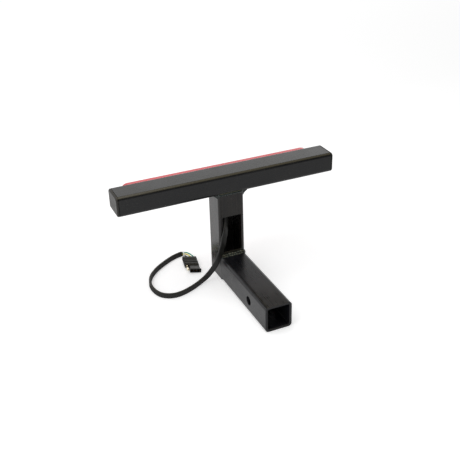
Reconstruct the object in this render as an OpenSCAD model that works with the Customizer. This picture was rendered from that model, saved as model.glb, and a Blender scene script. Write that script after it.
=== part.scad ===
/* [Receiver tube] */
// Outside width and height of the square tube that slides into a receiver
shank_w = 50.8; // [44:0.1:60]
// Wall thickness of the receiver tube
shank_wall = 4.8; // [3:0.1:6.5]
// Outside corner radius of the receiver tube
shank_corner = 7; // [4:0.5:9]
// Length of the receiver tube, up to the riser it is welded to
shank_len = 190.5; // [130:0.1:250]
// Diameter of the hitch pin hole
pin_hole_d = 16.7; // [12:0.1:19]
// Distance from the open end to the middle of the pin hole
pin_hole_inset = 68; // [30:1:90]

/* [Riser] */
// Wall thickness of the riser tube
riser_wall = 3.1; // [2:0.1:4.5]
// Outside corner radius of the riser tube
riser_corner = 5; // [3:0.5:7]
// Height of the riser from the floor to the crossbar
riser_h = 177.8; // [150:0.1:260]
// Width of the window that the lead comes out of
window_w = 38; // [36:0.5:40]
// Height of the window
window_h = 74; // [64:1:90]
// Height of the window's sill above the receiver tube
window_sill = 7.2; // [6.5:0.1:14]
// Corner radius of the window
window_corner = 2; // [1:0.5:6]

/* [Crossbar] */
// Length of the crossbar tube without its caps
bar_len = 419.1; // [340:0.1:560]
// Height of the crossbar tube
bar_h = 38.1; // [36:0.1:50]
// Wall thickness of the crossbar tube
bar_wall = 3.1; // [2:0.1:4]
// Outside corner radius of the crossbar tube
bar_corner = 4.5; // [3.5:0.5:6]

/* [End caps] */
// Thickness of a cap's outer plate
cap_flange = 4.5; // [3:0.5:7]
// Radius of the rounded edge around the plate
cap_edge = 2; // [1:0.5:2.5]
// How far a cap reaches into its tube
cap_insert = 14; // [8:1:24]
// Wall thickness of the hollow insert
cap_wall = 2.4; // [1.5:0.1:3.5]
// Gap between the insert and the tube around it
cap_clear = 0.4; // [0.2:0.1:0.8]

/* [Welds] */
// Leg of the fillet weld at each side of the riser's top
top_weld_leg = 8; // [5:0.5:10]
// Radius of the round bead in the groove at the riser's top front and back
top_weld_bead = 4; // [3:0.5:5]
// Radius of the bead between the receiver tube's top and the riser
foot_weld_bead = 5.5; // [4:0.5:6]
// Radius of the beads down the receiver tube's two sides
side_weld_bead = 3.2; // [2.5:0.1:4]

/* [Lamp] */
// Distance from each end of the crossbar tube to the lens
lens_inset = 21.5; // [16:0.5:60]
// Height of the lamp lens
lens_h = 30; // [26:0.5:34]
// How far the whole lamp stands out from the crossbar
lamp_depth = 12.7; // [12:0.1:18]
// Corner radius of the lens outline
lens_corner = 14; // [6:0.5:14]
// Radius of the edge around the lens face
lens_edge = 2; // [1:0.5:2]
// Wall thickness of the lens
lens_wall = 2.2; // [1.6:0.1:2.6]
// Thickness of the foam gasket behind the lamp
gasket_t = 0.8; // [0.5:0.1:2]
// Depth of the black lamp base
base_depth = 5; // [4.6:0.1:5.4]
// Thickness of the base's back plate
base_plate = 1.8; // [1.2:0.1:2]
// Number of light emitting diodes
led_count = 12; // [4:1:14]
// Spacing of the moulded ribs behind the lens face
flute_pitch = 8; // [5:0.5:16]
// Shank diameter of the two lamp screws
screw_d = 4; // [3:0.1:5]

/* [Flat lead] */
// Width of the flat four-wire lead
cord_w = 10.4; // [8:0.1:10.6]
// Thickness of the flat lead
cord_t = 4.2; // [3:0.1:4.6]
// Diameter of one insulated wire
wire_d = 2.4; // [1.6:0.1:2.5]

/* [Plug] */
// Width of the moulded four-way plug
plug_w = 28; // [27:0.5:32]
// Thickness of the plug's gripping end
plug_t = 8.6; // [8:0.1:12]
// Length of the plug's gripping end
grip_len = 37; // [30:1:42]
// Length of the socket block in front of the grip
block_len = 14; // [10:1:20]
// Spacing of the four contacts
contact_pitch = 6.6; // [6.2:0.1:6.6]
// Diameter of the exposed brass pin
plug_pin_d = 4.6; // [3:0.1:4.8]
// Number of grip grooves across the plug
groove_count = 4; // [2:1:5]

/* [Hidden] */

steel_black = [0.13, 0.13, 0.14];
weld_black = [0.22, 0.23, 0.23];
plastic_black = [0.08, 0.08, 0.08];
lens_red = [0.8, 0.12, 0.15];
arc = 64;
past = 1;
snug = 0.05;

// The riser and the crossbar have the receiver tube's outside size, so their faces are flush
riser_w = shank_w;
bar_d = shank_w;

// Places, with the origin on the floor under the middle of the light bar
front_y = -(shank_len + riser_w + lamp_depth) / 2;
riser_front_y = front_y + shank_len;
riser_mid_y = riser_front_y + riser_w / 2;
shank_mid_z = shank_w / 2;
riser_top_z = riser_h;
bar_mid_z = riser_top_z + bar_h / 2;
bar_rear_y = riser_mid_y + bar_d / 2;
sill_z = shank_w + window_sill;
cap_inner_r = 0.6;
weld_sink = 1;

// The lamp is built flat, with its back at z = 0 and its face up, then stood against the crossbar
lens_len = bar_len - 2 * lens_inset;
base_top = gasket_t + base_depth;
screw_head_d = screw_d * 2;
boss_d = screw_head_d * 1.4;
lens_r = min(lens_corner, lens_h / 2 - 1);
board_z = gasket_t + base_plate + 1;
board_t = 1.6;
board_inset = boss_d * 2;
board_len = lens_len - 2 * board_inset;
board_w = lens_h * 2 / 3;
led_margin = board_w;
led_pitch = (board_len - 2 * led_margin) / (led_count - 1);
lens_inner_z = lamp_depth - lens_wall;
flute_r = 0.8;
screw_inset = boss_d * 1.16;
screw_x = lens_len / 2 - screw_inset;
screw_head_h = screw_d * 0.65;
screw_seat_z = lamp_depth - screw_head_h - 0.6;
screw_clear = 0.1;
base_clear = 0.4;
seat_clear = 0.6;
led_size = 5;
led_h = 1.2;

// The lead's route was laid round a riser of this size and place, and follows its front left corner
route_riser_w = 50.8;
route_front_y = 63.5;
route_window_z = 108;
route_top_z = 177.8;
follow = [(route_riser_w - riser_w) * 0.8, riser_front_y - route_front_y, 0];
rise = (riser_top_z - route_window_z) / (route_top_z - route_window_z);

// Lead, from the back of the circuit board through the crossbar and down the riser
lead_x = -4 + follow.x;
lead_y = 86 + follow.y;
lead_bend_r = 9;
lead_join_z = route_window_z + (184.5 - route_window_z) * rise;
lead_gap = 0.15;
spigot_d = cord_w + 4.4;
spigot_reach = 2.5;
grommet_neck_d = cord_w + 7.4;
grommet_lip = 2.2;
grommet_lip_t = 1.6;

// Middle line of the free lead, from inside the riser, out of the window and round to the plug
cord_route = [
  [-4, 86, 184.5], [-4, 86, 172], [-4.8, 85, 158], [-6, 80.5, 143],
  [-8.3, 75, 128], [-11.2, 68.5, 117], [-13.7, 62.5, 108], [-17.2, 58.5, 99.5],
  [-20.5, 57, 91], [-22.5, 56, 83], [-24.8, 56, 75.5], [-29, 56, 63],
  [-33.3, 56.5, 51], [-39, 59.5, 37.5], [-46.5, 64, 23.5], [-56.5, 67, 11.5],
  [-66.5, 66, 6.5], [-75, 62, 5.3], [-85, 56.5, 5.3], [-95, 52, 5.3],
  [-105.5, 48, 5.3], [-116, 45.5, 5.3], [-126, 45, 5.3], [-135, 47, 5.3],
  [-143, 51.5, 5.3], [-149.5, 58, 5.3], [-154, 67, 5.3], [-156.5, 77, 5.3],
  [-157.5, 88, 5.3], [-156.5, 99, 5.3], [-153.5, 109.5, 5.3], [-149.5, 119.5, 5.3],
  [-144, 128.5, 5.3], [-137, 137, 5.3], [-129, 145, 5.3], [-120, 152.5, 5.3],
  [-110, 159.5, 5.3], [-100, 166, 5.3], [-89.5, 172, 5.3], [-79.5, 176.5, 5.3],
  [-70.5, 179.5, 5.3], [-62, 181, 5.3]
];

lead_route = [
  for (p = cord_route)
    [p.x, p.y, p.z < route_window_z ? p.z : route_window_z + (p.z - route_window_z) * rise]
];

// Plug, lying on the floor with its pin side raised a little by the wires
plug_at = [-55.5, 158.5];
plug_turn = -11.5;
plug_roll = 8;
plug_edge = 2.4;
block_t = plug_t - 1.4;
contact_z = plug_t / 2;
sleeve_d = plug_pin_d + 1;
contact_x = [for (i = [0 : 3]) (i - 1.5) * contact_pitch];
wire_hole_deep = 5;
pin_seat = 10;

// Middle lines of the four wires between the lead's end and the plug
white_route = [
  [-61.9, 181.05, 9.2], [-60.6, 181.3, 9.3], [-59.2, 179.5, 9.7], [-59.8, 174.8, 9.7],
  [-61.7, 169, 8.9], [-63.6, 164.5, 7.8], [-64.5, 160.3, 7.6], [-65.1, 157.4, 7.6]
];
brown_route = [
  [-61.9, 181.05, 1.5], [-60.6, 181.3, 1.5], [-58.6, 179.7, 1.9], [-57.6, 175.5, 3.2],
  [-57.5, 169.5, 5], [-57.6, 163.4, 6.6], [-58.1, 159, 6.7], [-58.7, 156.1, 6.7]
];
yellow_route = [
  [-61.9, 181.05, 4.05], [-60.6, 181.3, 4.05], [-57.4, 180.2, 4.5], [-54.5, 175.6, 5.6],
  [-51.8, 168, 6.4], [-51, 161.8, 5.9], [-51.7, 157.7, 5.7], [-52.3, 154.8, 5.7]
];
green_route = [
  [-61.9, 181.05, 6.6], [-60.6, 181.3, 6.6], [-56.4, 181.1, 7], [-51.5, 177, 7.2],
  [-47.5, 169.5, 6.4], [-44.8, 161.2, 5.2], [-45.3, 156.4, 4.8], [-45.9, 153.5, 4.8]
];

// A rectangle with round corners
module round_rect(w, h, r) {
  square([w - 2 * r, h], center = true);
  square([w, h - 2 * r], center = true);
  for (x = [-1, 1], y = [-1, 1])
    translate([x * (w / 2 - r), y * (h / 2 - r)])
      circle(r = r, $fn = arc);
}

// A strip that stands on the x axis, with its two upper corners rounded
module pillow(w, t, r) {
  translate([-w / 2, 0])
    square([w, t - r]);
  translate([-w / 2 + r, 0])
    square([w - 2 * r, t]);
  for (x = [-1, 1])
    translate([x * (w / 2 - r), t - r])
      circle(r = r, $fn = arc);
}

// A plate with round corners and a rounded upper edge
module soft_plate(w, h, t, corner, edge) {
  intersection() {
    linear_extrude(t)
      round_rect(w, h, corner);
    rotate([90, 0, 0])
      linear_extrude(h + 2 * past, center = true)
        pillow(w, t, edge);
    rotate([90, 0, 90])
      linear_extrude(w + 2 * past, center = true)
        pillow(h, t, edge);
  }
}

// Solid outer shapes, which the welds are cut to
module shank_outer() {
  translate([0, riser_front_y, shank_mid_z])
    rotate([90, 0, 0])
      linear_extrude(shank_len)
        round_rect(shank_w, shank_w, shank_corner);
}

module riser_outer() {
  translate([0, riser_mid_y, 0])
    linear_extrude(riser_h)
      round_rect(riser_w, riser_w, riser_corner);
}

module bar_outer() {
  translate([0, riser_mid_y, bar_mid_z])
    rotate([90, 0, 90])
      linear_extrude(bar_len, center = true)
        round_rect(bar_d, bar_h, bar_corner);
}

module shank_tube() {
  color(steel_black)
    difference() {
      shank_outer();
      translate([0, riser_front_y + past, shank_mid_z])
        rotate([90, 0, 0])
          linear_extrude(shank_len + 2 * past)
            round_rect(
              shank_w - 2 * shank_wall, shank_w - 2 * shank_wall,
              max(shank_corner - shank_wall, cap_inner_r)
            );
      translate([0, front_y + pin_hole_inset, shank_mid_z])
        rotate([0, 90, 0])
          cylinder(d = pin_hole_d, h = shank_w + 2 * past, center = true, $fn = arc);
    }
}

module riser_tube() {
  color(steel_black)
    difference() {
      riser_outer();
      translate([0, riser_mid_y, -past])
        linear_extrude(riser_h + 2 * past)
          round_rect(
            riser_w - 2 * riser_wall, riser_w - 2 * riser_wall,
            max(riser_corner - riser_wall, cap_inner_r)
          );
      translate([0, riser_front_y + riser_wall / 2, sill_z + window_h / 2])
        rotate([90, 0, 0])
          linear_extrude(riser_wall + 2 * past, center = true)
            round_rect(window_w, window_h, window_corner);
    }
}

module crossbar_tube() {
  color(steel_black)
    difference() {
      bar_outer();
      translate([0, riser_mid_y, bar_mid_z])
        rotate([90, 0, 90])
          linear_extrude(bar_len + 2 * past, center = true)
            round_rect(
              bar_d - 2 * bar_wall, bar_h - 2 * bar_wall,
              max(bar_corner - bar_wall, cap_inner_r)
            );
      translate([lead_x, lead_y, riser_top_z + bar_wall / 2])
        cylinder(d = grommet_neck_d + 2 * lead_gap, h = bar_wall + 2 * past, center = true, $fn = arc);
      translate([lead_x, bar_rear_y - bar_wall / 2, bar_mid_z])
        rotate([90, 0, 0])
          cylinder(d = spigot_d + 2 * lead_gap, h = bar_wall + 2 * past, center = true, $fn = arc);
      for (x = [-screw_x, screw_x])
        translate([x, bar_rear_y - bar_wall / 2, bar_mid_z])
          rotate([90, 0, 0])
            cylinder(d = screw_d + 2 * screw_clear, h = bar_wall + 2 * past, center = true, $fn = arc);
    }
}

// A ring of round bead along the four sides of a square, with a ball at each corner
module bead_square(w, side_r, end_r) {
  corner_r = min(side_r, end_r);
  for (s = [-1, 1]) {
    translate([s * w / 2, 0, 0])
      rotate([90, 0, 0])
        cylinder(r = side_r, h = w, center = true, $fn = arc);
    translate([0, s * w / 2, 0])
      rotate([0, 90, 0])
        cylinder(r = end_r, h = w, center = true, $fn = arc);
    for (e = [-1, 1])
      translate([s * w / 2, e * w / 2, 0])
        sphere(r = corner_r, $fn = arc);
  }
}

// Bead across the receiver tube's top and down its two sides; underneath it is left flush
module weld_foot() {
  ball = (foot_weld_bead + side_weld_bead) / 2;
  side_x = shank_w / 2 - weld_sink;
  color(weld_black)
    difference() {
      translate([0, riser_front_y + weld_sink, 0]) {
        translate([0, 0, shank_w - weld_sink])
          rotate([0, 90, 0])
            cylinder(r = foot_weld_bead, h = 2 * side_x, center = true, $fn = arc);
        for (x = [-side_x, side_x])
          translate([x, 0, 0]) {
            translate([0, 0, shank_w - weld_sink])
              sphere(r = ball, $fn = arc);
            translate([0, 0, 2 * weld_sink])
              cylinder(r = side_weld_bead, h = shank_w - 3 * weld_sink, $fn = arc);
          }
      }
      shank_outer();
      riser_outer();
    }
}

// Hollow fillet at one side of the riser's top
module side_fillet() {
  hollow = top_weld_leg * 1.5;
  rotate([90, 0, 0])
    linear_extrude(riser_w - riser_corner, center = true)
      difference() {
        polygon([[-1, 1], [top_weld_leg, 1], [top_weld_leg, 0], [0, -top_weld_leg], [-1, -top_weld_leg]]);
        translate([hollow, -hollow])
          circle(r = norm([hollow - top_weld_leg, hollow]), $fn = arc);
      }
}

module weld_top() {
  color(weld_black)
    difference() {
      translate([0, riser_mid_y, riser_top_z]) {
        translate([0, 0, 0.5])
          bead_square(riser_w - 5.5, top_weld_bead + 1, top_weld_bead);
        translate([riser_w / 2, 0, 0])
          side_fillet();
        mirror([1, 0, 0])
          translate([riser_w / 2, 0, 0])
            side_fillet();
      }
      riser_outer();
      bar_outer();
    }
}

// Plastic cap for a rectangular tube; its plate faces up and its insert hangs below
module tube_cap(w, h, corner, wall) {
  in_w = w - 2 * wall - 2 * cap_clear;
  in_h = h - 2 * wall - 2 * cap_clear;
  band_r = max(corner - wall, cap_inner_r);
  band_w = in_w + 2 * (cap_clear - snug);
  band_h = in_h + 2 * (cap_clear - snug);
  soft_plate(w, h, cap_flange, corner, cap_edge);
  difference() {
    translate([0, 0, -cap_insert])
      union() {
        linear_extrude(cap_insert + 0.01)
          round_rect(in_w, in_h, band_r);
        for (z = [0.25, 0.6])
          translate([0, 0, cap_insert * z])
            linear_extrude(1.2)
              round_rect(band_w, band_h, band_r);
      }
    translate([0, 0, -cap_insert - past])
      linear_extrude(cap_insert)
        round_rect(in_w - 2 * cap_wall, in_h - 2 * cap_wall, cap_inner_r);
  }
}

module bar_cap() {
  translate([bar_len / 2, riser_mid_y, bar_mid_z])
    rotate([90, 0, 90])
      tube_cap(bar_d, bar_h, bar_corner, bar_wall);
}

module end_cap_right() {
  color(plastic_black)
    bar_cap();
}

module end_cap_left() {
  color(plastic_black)
    mirror([1, 0, 0])
      bar_cap();
}

// Stands a flat-built lamp piece against the crossbar's far face
module on_bar_rear() {
  translate([0, bar_rear_y, bar_mid_z])
    rotate([-90, 0, 0])
      children();
}

module screw_holes(d, low, high) {
  for (x = [-screw_x, screw_x])
    translate([x, 0, low - past])
      cylinder(d = d, h = high - low + 2 * past, $fn = arc);
}

module lamp_gasket() {
  color([0.1, 0.1, 0.1])
    on_bar_rear()
      difference() {
        linear_extrude(gasket_t)
          round_rect(lens_len - 2, lens_h - 2, lens_r - 1);
        screw_holes(screw_d + seat_clear, 0, gasket_t);
        translate([lead_x, 0, -past])
          cylinder(d = spigot_d + 2 * lead_gap, h = gasket_t + 2 * past, $fn = arc);
      }
}

module lead_slot(low, high) {
  translate([lead_x, 0, low])
    linear_extrude(high - low)
      round_rect(cord_w + 2 * lead_gap, cord_t + 2 * lead_gap, cord_t / 3);
}

module lamp_base() {
  color(plastic_black)
    on_bar_rear()
      difference() {
        union() {
          difference() {
            translate([0, 0, gasket_t])
              linear_extrude(base_depth)
                round_rect(lens_len, lens_h, lens_r);
            translate([0, 0, gasket_t + base_plate])
              linear_extrude(base_depth)
                round_rect(lens_len - 4, lens_h - 4, lens_r - 2);
          }
          for (x = [-screw_x, screw_x])
            translate([x, 0, gasket_t])
              cylinder(d = boss_d, h = base_depth, $fn = arc);
          for (i = [-2 : 2])
            translate([i * board_len / 5, board_w * 0.3, gasket_t + base_plate + 0.5])
              cube([3, board_w / 3, 1], center = true);
          translate([lead_x, 0, -bar_wall - spigot_reach])
            cylinder(d = spigot_d, h = bar_wall + spigot_reach + gasket_t + past, $fn = arc);
        }
        screw_holes(screw_d + base_clear, 0, base_top);
        lead_slot(-bar_wall - spigot_reach - past, board_z);
      }
}

module circuit_board() {
  color([0.85, 0.87, 0.82])
    on_bar_rear()
      translate([0, 0, board_z])
        linear_extrude(board_t)
          round_rect(board_len, board_w, 2);
}

module led_chips() {
  color([0.95, 0.85, 0.6])
    on_bar_rear()
      for (i = [0 : led_count - 1])
        translate([(i - (led_count - 1) / 2) * led_pitch, 0, board_z + board_t]) {
          translate([-led_size / 2, -led_size / 2, 0])
            cube([led_size, led_size, led_h]);
          translate([0, 0, led_h])
            cylinder(r1 = led_size * 0.4, r2 = led_size * 0.22, h = led_size * 0.18, $fn = 32);
        }
}

// Red cover with a flat face, rounded edge, ribs inside and a recessed screw seat at each end
module lamp_lens() {
  flute_room = screw_x - boss_d;
  flutes = floor(flute_room / flute_pitch);
  color(lens_red)
    on_bar_rear()
      difference() {
        union() {
          difference() {
            translate([0, 0, base_top])
              soft_plate(lens_len, lens_h, lamp_depth - base_top, lens_r, lens_edge);
            translate([0, 0, base_top - past])
              linear_extrude(lens_inner_z - base_top + past)
                round_rect(lens_len - 2 * lens_wall, lens_h - 2 * lens_wall, lens_r - lens_wall);
          }
          for (i = [-flutes : flutes])
            translate([i * flute_pitch, 0, lens_inner_z])
              rotate([90, 0, 0])
                cylinder(r = flute_r, h = lens_h - 2 * lens_wall - 2, center = true, $fn = 24);
          for (x = [-screw_x, screw_x])
            translate([x, 0, base_top])
              cylinder(d = boss_d, h = lamp_depth - lens_edge - base_top, $fn = arc);
        }
        screw_holes(screw_d + base_clear, base_top, lamp_depth);
        for (x = [-screw_x, screw_x])
          translate([x, 0, screw_seat_z])
            cylinder(d = screw_head_d + seat_clear, h = lamp_depth, $fn = arc);
      }
}

// Two pan head screws, each with a cross recess
module lamp_screws() {
  reach = screw_seat_z + bar_wall + 4;
  color([0.75, 0.76, 0.78])
    on_bar_rear()
      for (x = [-screw_x, screw_x])
        translate([x, 0, screw_seat_z])
          difference() {
            union() {
              rotate_extrude($fn = arc)
                intersection() {
                  square([screw_head_d / 2, screw_head_h]);
                  translate([0, screw_head_h - screw_head_d])
                    circle(r = screw_head_d, $fn = arc);
                }
              translate([0, 0, -reach])
                cylinder(d = screw_d, h = reach + 0.1, $fn = arc);
            }
            for (a = [0, 90])
              rotate([0, 0, a])
                translate([0, 0, screw_head_h])
                  cube([screw_d, screw_d / 5, screw_head_h], center = true);
          }
}

// Rubber grommet in the crossbar's floor, slotted for the flat lead
module lead_grommet() {
  lip_d = grommet_neck_d + 2 * grommet_lip;
  color([0.1, 0.1, 0.1])
    translate([lead_x, lead_y, riser_top_z])
      difference() {
        union() {
          cylinder(d = grommet_neck_d, h = bar_wall, $fn = arc);
          for (z = [-grommet_lip_t, bar_wall])
            translate([0, 0, z])
              cylinder(d = lip_d, h = grommet_lip_t, $fn = arc);
        }
        translate([0, 0, -grommet_lip_t - past])
          linear_extrude(bar_wall + 2 * grommet_lip_t + 2 * past)
            round_rect(cord_w + 2 * lead_gap, cord_t + 2 * lead_gap, cord_t / 3);
      }
}

// Flat section of the lead, with rounded edges
module flat_section() {
  round_rect(cord_w, cord_t, cord_t * 0.3);
}

module lead_inside() {
  run_start_y = bar_rear_y + board_z;
  run_end_y = lead_y + lead_bend_r;
  color([0.12, 0.12, 0.12])
    translate([lead_x, 0, 0]) {
      translate([0, run_start_y, bar_mid_z])
        rotate([90, 0, 0])
          linear_extrude(run_start_y - run_end_y)
            flat_section();
      translate([0, run_end_y, bar_mid_z - lead_bend_r])
        rotate([90, 0, -90])
          rotate_extrude(angle = 90, $fn = arc)
            translate([lead_bend_r, 0])
              rotate([0, 0, 90])
                flat_section();
      translate([0, lead_y, lead_join_z])
        linear_extrude(bar_mid_z - lead_bend_r - lead_join_z)
          flat_section();
    }
}

function unit(v) = v / norm(v);
function last(list) = len(list) - 1;

// Direction of travel at point i of a route
function heading(route, i) = unit(route[min(i + 1, last(route))] - route[max(i - 1, 0)]);

// Which way the flat side of the lead faces: sideways where it runs level, forwards where it drops
function facing(t) =
  let (raw = cross([0, 0, 1], t) + [0, -2, 0] * (1 - norm([t.x, t.y])))
  unit(raw - t * (raw * t));

// Eight-sided flat section, as [across, through] pairs
function flat_ring(w, h, c) = [
  [w / 2, h / 2 - c], [w / 2 - c, h / 2], [c - w / 2, h / 2], [-w / 2, h / 2 - c],
  [-w / 2, c - h / 2], [c - w / 2, -h / 2], [w / 2 - c, -h / 2], [w / 2, c - h / 2]
];

function round_ring(d, sides) = [
  for (k = [0 : sides - 1]) [cos(k * 360 / sides), sin(k * 360 / sides)] * d / 2
];

// One closed tube of the given section along a route
module sweep(route, section) {
  n = len(section);
  rings = len(route);
  points = [
    for (i = [0 : rings - 1])
      let (t = heading(route, i), f = facing(t), across = cross(f, t))
      for (s = section) route[i] + follow + across * s[0] + f * s[1]
  ];
  sides = [
    for (i = [0 : rings - 2], k = [0 : n - 1])
      let (a = i * n + k, b = i * n + (k + 1) % n)
      each [[a, b, b + n], [a, b + n, a + n]]
  ];
  start = [for (k = [n - 1 : -1 : 0]) k];
  finish = [for (k = [0 : n - 1]) (rings - 1) * n + k];
  polyhedron(points, concat(sides, [start, finish]));
}

module lead_cord() {
  color([0.12, 0.12, 0.12])
    sweep(lead_route, flat_ring(cord_w, cord_t, cord_t * 0.28));
}

module wire_white() {
  color([0.92, 0.92, 0.9])
    sweep(white_route, round_ring(wire_d, 8));
}

module wire_brown() {
  color([0.28, 0.16, 0.1])
    sweep(brown_route, round_ring(wire_d, 8));
}

module wire_yellow() {
  color([0.9, 0.8, 0.2])
    sweep(yellow_route, round_ring(wire_d, 8));
}

module wire_green() {
  color([0.1, 0.5, 0.35])
    sweep(green_route, round_ring(wire_d, 8));
}

// Puts a plug piece, built level and pointing to -y, where the plug lies
module at_plug() {
  translate([plug_at.x, plug_at.y, plug_w / 2 * sin(plug_roll) + snug] + follow)
    rotate([0, plug_roll, plug_turn])
      children();
}

// Round hole along the plug at one contact, from one place on its length to another
module contact_bore(x, d, from, to) {
  translate([x, -from, contact_z])
    rotate([90, 0, 0])
      cylinder(d = d, h = to - from, $fn = arc);
}

// Moulded body: a soft-edged grip, a socket block with a front lip, and a bare side for the pin
module plug_body() {
  block_w = plug_w / 2 - (contact_x[0] + contact_x[1]) / 2;
  block_x = plug_w / 2 - block_w / 2;
  pin_step = 3;
  groove_pitch = (grip_len - 10) / groove_count;
  plug_len = grip_len + block_len;
  color(plastic_black)
    at_plug()
      difference() {
        union() {
          intersection() {
            translate([0, 0, plug_t / 2])
              rotate([90, 0, 0])
                linear_extrude(grip_len)
                  round_rect(plug_w, plug_t, plug_edge);
            translate([0, -grip_len / 2, 0])
              linear_extrude(plug_t)
                round_rect(plug_w, grip_len, 3);
          }
          translate([block_x, 0, plug_t / 2])
            rotate([90, 0, 0]) {
              linear_extrude(plug_len)
                round_rect(block_w, block_t, 1.6);
              translate([0, 0, plug_len - 3])
                linear_extrude(3)
                  round_rect(block_w, plug_t, 1.6);
            }
        }
        translate([-plug_w / 2 - past, -grip_len - past, -past])
          cube([plug_w - block_w + past, pin_step + past, plug_t + 2 * past]);
        for (i = [0 : groove_count - 1], z = [0, plug_t])
          translate([0, -6 - (i + 0.5) * groove_pitch, z])
            rotate([0, 90, 0])
              cylinder(r = 0.9, h = plug_w + past, center = true, $fn = 24);
        for (x = contact_x)
          contact_bore(x, wire_d + 0.4, -past, wire_hole_deep);
        for (i = [1 : 3])
          contact_bore(contact_x[i], sleeve_d + 2 * snug, grip_len, plug_len + past);
        contact_bore(contact_x[0], plug_pin_d + 2 * snug, grip_len - pin_seat, grip_len);
      }
}

module plug_pin() {
  tip = plug_pin_d / 2;
  pin_len = block_len + 8;
  color([0.85, 0.7, 0.35])
    at_plug()
      translate([contact_x[0], pin_seat - grip_len, contact_z])
        rotate([90, 0, 0]) {
          cylinder(d = plug_pin_d, h = pin_len - tip, $fn = arc);
          translate([0, 0, pin_len - tip])
            sphere(r = tip, $fn = arc);
        }
}

// Three brass sleeves, seated on the floors of the socket block's holes
module plug_sockets() {
  color([0.85, 0.7, 0.35])
    at_plug()
      for (i = [1 : 3])
        difference() {
          contact_bore(contact_x[i], sleeve_d, grip_len, grip_len + block_len - 2);
          contact_bore(contact_x[i], plug_pin_d + 2 * snug, grip_len + 1, grip_len + block_len);
        }
}

shank_tube();
riser_tube();
crossbar_tube();
weld_foot();
weld_top();
end_cap_left();
end_cap_right();
lamp_gasket();
lamp_base();
circuit_board();
led_chips();
lamp_lens();
lamp_screws();
lead_grommet();
lead_inside();
lead_cord();
wire_white();
wire_brown();
wire_yellow();
wire_green();
plug_body();
plug_pin();
plug_sockets();
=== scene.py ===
"""Looks of the trailer light bar: steelwork, welds, caps, lamp, flat lead and four-way plug.

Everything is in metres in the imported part's frame: +X along the crossbar, -Y out of the
receiver tube's open end, +Z up, with the floor at z = 0. Sizes in the classes are millimetres.
"""

import sys

import logging
import math
from dataclasses import dataclass, field
from enum import Enum
from typing import Iterable, Sequence

import bmesh
import bpy
from mathutils import Matrix, Vector, noise


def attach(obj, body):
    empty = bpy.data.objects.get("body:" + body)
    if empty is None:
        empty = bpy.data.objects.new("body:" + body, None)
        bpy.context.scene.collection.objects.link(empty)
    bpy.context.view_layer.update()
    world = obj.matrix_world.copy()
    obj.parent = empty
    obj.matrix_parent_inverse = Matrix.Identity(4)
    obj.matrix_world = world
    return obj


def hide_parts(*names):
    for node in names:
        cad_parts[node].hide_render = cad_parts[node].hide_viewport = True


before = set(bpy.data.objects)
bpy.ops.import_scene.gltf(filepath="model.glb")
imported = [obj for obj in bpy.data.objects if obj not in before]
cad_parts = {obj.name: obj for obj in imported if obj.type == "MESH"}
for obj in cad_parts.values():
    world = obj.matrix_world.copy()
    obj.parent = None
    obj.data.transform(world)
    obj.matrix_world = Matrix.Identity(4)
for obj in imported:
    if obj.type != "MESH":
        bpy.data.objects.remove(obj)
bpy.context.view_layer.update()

log = logging.getLogger("light_bar")
MM = 0.001
BODY = "root"
# Lamp sizes that more than one class needs, in millimetres.
SCREW_X = 175.06
FLUTE_PITCH = 8.0

Point = tuple[float, float]
Ring = list[Vector]
Tree = bpy.types.NodeTree
Node = bpy.types.Node
Socket = bpy.types.NodeSocket
Piece = bpy.types.Object

X, Y, Z = (1, 0, 0), (0, 1, 0), (0, 0, 1)
HERE = Matrix.Identity(4)


class Ends(Enum):
    """How the first and last ring of a loft are closed."""

    CAPPED = "capped"
    JOINED = "joined"


class Grain(Enum):
    """The direction of a tube's faint drawing lines, as the stretch of each axis."""

    ALONG_X = (0.02, 1.0, 1.0)
    ALONG_Y = (1.0, 0.02, 1.0)
    ALONG_Z = (1.0, 1.0, 0.02)
    NONE = (1.0, 1.0, 1.0)


# ---- colours and nodes


def linear(hex_colour: str) -> tuple[float, float, float, float]:
    """Turns an sRGB hex colour into the linear colour that a shader takes.

    Args:
        hex_colour: six hex digits, with or without a leading hash.

    Returns:
        Linear red, green, blue and an alpha of 1.
    """
    digits = hex_colour.lstrip("#")
    values = [int(digits[i : i + 2], 16) / 255 for i in (0, 2, 4)]
    made = [v / 12.92 if v <= 0.04045 else ((v + 0.055) / 1.055) ** 2.4 for v in values]
    return (made[0], made[1], made[2], 1.0)


def wire(tree: Tree, node: Node, inputs: dict) -> None:
    """Sets or links a node's inputs; a link from a node starts at its first output."""
    for name, value in inputs.items():
        source = value.outputs[0] if isinstance(value, Node) else value
        if isinstance(source, Socket):
            tree.links.new(source, node.inputs[name])
        else:
            node.inputs[name].default_value = source


def add(
    tree: Tree,
    kind: str,
    inputs: dict | None = None,
    stops: Sequence[tuple[float, str]] = (),
    **settings: object,
) -> Node:
    """Adds one node to a tree, with its settings and its links.

    Args:
        tree: the node tree.
        kind: the node's type name, without its ShaderNode.
        inputs: by socket name or number, a value, or a node or output socket to link from.
        stops: pairs of place and hex colour, where the node has a colour ramp.
        **settings: attributes of the node.

    Returns:
        The new node.
    """
    node = tree.nodes.new("ShaderNode" + kind)
    for name, value in settings.items():
        setattr(node, name, value)
    for number, (place, colour) in enumerate(stops):
        elements = node.color_ramp.elements
        stop = elements[number] if number < len(elements) else elements.new(place)
        stop.position, stop.color = place, linear(colour)
    wire(tree, node, inputs or {})
    return node


def per_metre(size_mm: float) -> float:
    """The texture scale at which one grain is size_mm across."""
    return 1 / (size_mm * MM)


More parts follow.
